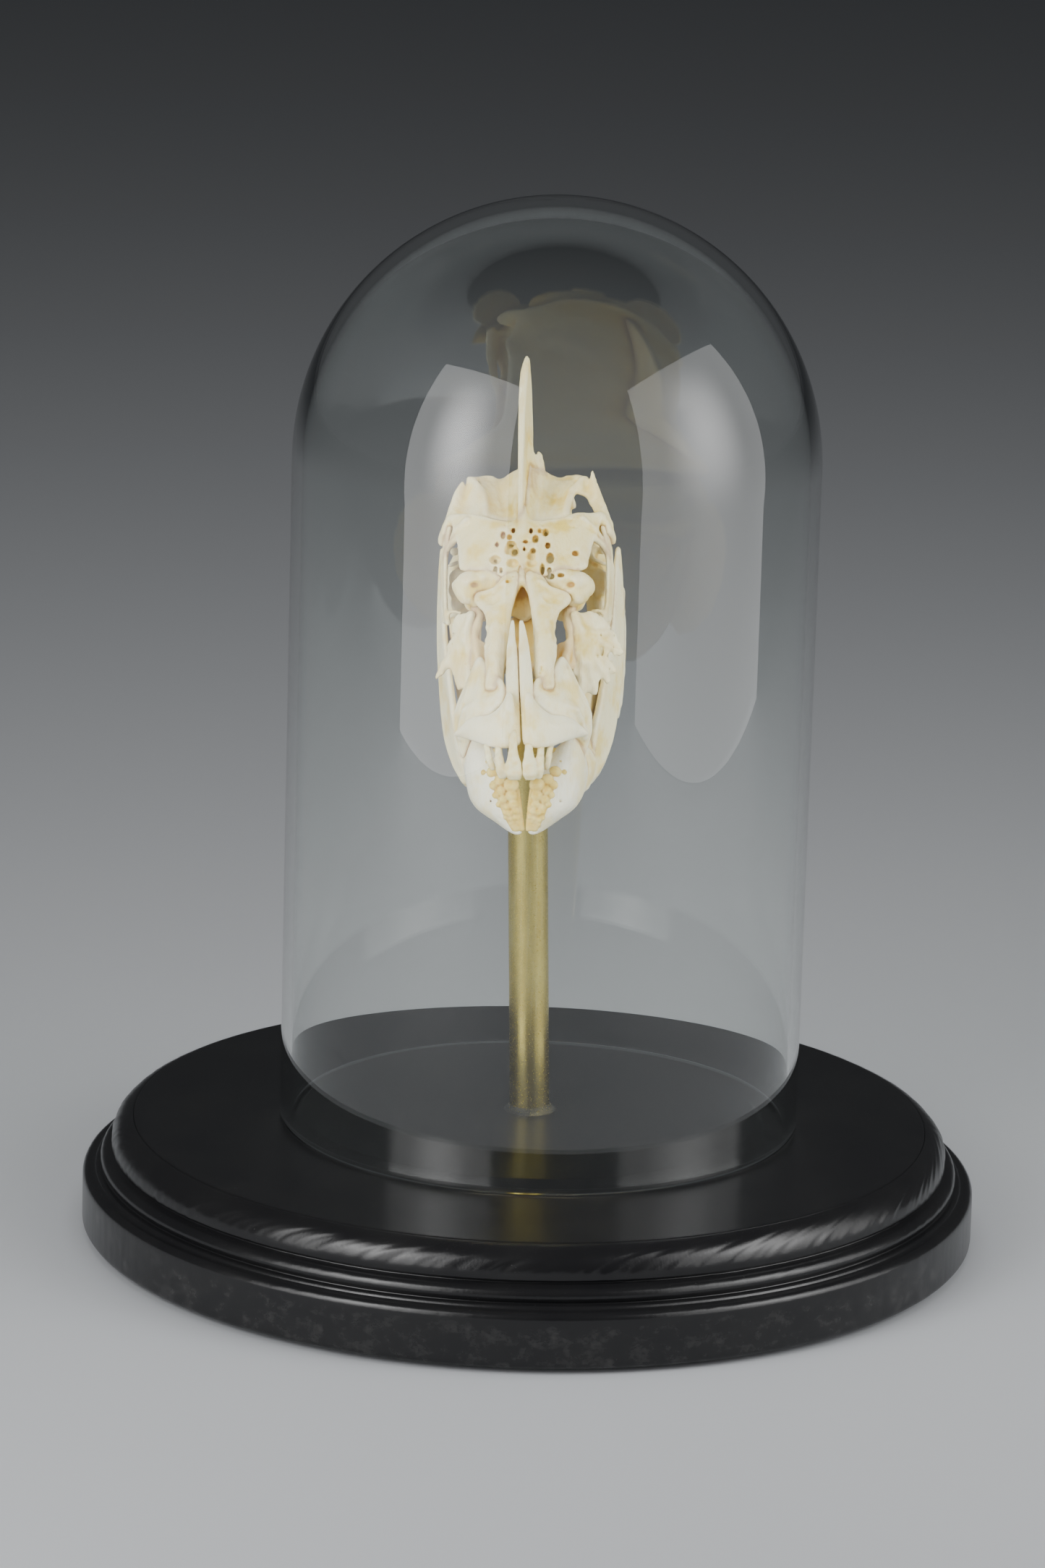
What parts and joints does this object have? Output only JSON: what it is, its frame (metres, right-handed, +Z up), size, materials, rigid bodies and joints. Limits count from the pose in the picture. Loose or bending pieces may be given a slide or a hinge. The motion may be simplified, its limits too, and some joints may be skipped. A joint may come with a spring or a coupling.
{
  "type": "bell jar dome",
  "caption": "Glass bell jar on a turned and lacquered base, with a brass post that holds a mounted fish skull. The dome lifts off.",
  "frame": {"origin": "middle of the underside, where the felt meets the table", "axes": "+Z up along the turning axis of the base, -Y towards the front of the skull"},
  "size_m": [0.2066, 0.2066, 0.2414],
  "materials": {
    "lacquered_wood": "black satin lacquer, brushed on",
    "felt": "thin felt",
    "glass": "clear blown glass",
    "brass": "brushed, slightly tarnished",
    "clear_glue": "clear and glossy",
    "putty": "matt",
    "bone": "dry, slightly waxy bone",
    "pale_bone": "smooth, slightly waxy bone",
    "tooth": "smooth enamel"
  },
  "bodies": {
    "stand": {"base": "lacquered_wood", "felt_pad": "felt", "brass_post": "brass", "glue_fillet": "clear_glue", "mount_putty": "putty", "cranium": "bone", "supraoccipital_crest": "bone", "mesethmoid": "bone", "vomer": "bone", "parasphenoid": "bone", "lateral_ethmoid_left": "bone", "lateral_ethmoid_right": "bone", "nasal_left": "bone", "nasal_right": "bone", "lacrimal_left": "bone", "lacrimal_right": "bone", "infraorbital_left": "bone", "infraorbital_right": "bone", "premaxilla_left": "pale_bone", "premaxilla_right": "pale_bone", "upper_teeth_left": "tooth", "upper_teeth_right": "tooth", "maxilla_left": "pale_bone", "maxilla_right": "pale_bone", "palatine_left": "bone", "palatine_right": "bone", "pterygoid_left": "bone", "pterygoid_right": "bone", "quadrate_left": "bone", "quadrate_right": "bone", "hyomandibula_left": "bone", "hyomandibula_right": "bone", "preopercle_left": "pale_bone", "preopercle_right": "pale_bone", "opercle_left": "pale_bone", "opercle_right": "pale_bone", "articular_left": "pale_bone", "articular_right": "pale_bone", "dentary_left": "pale_bone", "dentary_right": "pale_bone", "lower_teeth_left": "tooth", "lower_teeth_right": "tooth"},
    "dome": {"glass_dome": "glass"}
  },
  "joints": [
    {"name": "dome_lift", "type": "slide", "parent": "stand", "child": "dome", "axis": [0, 0, 1], "range_m": [0, 0.2]}
  ]
}
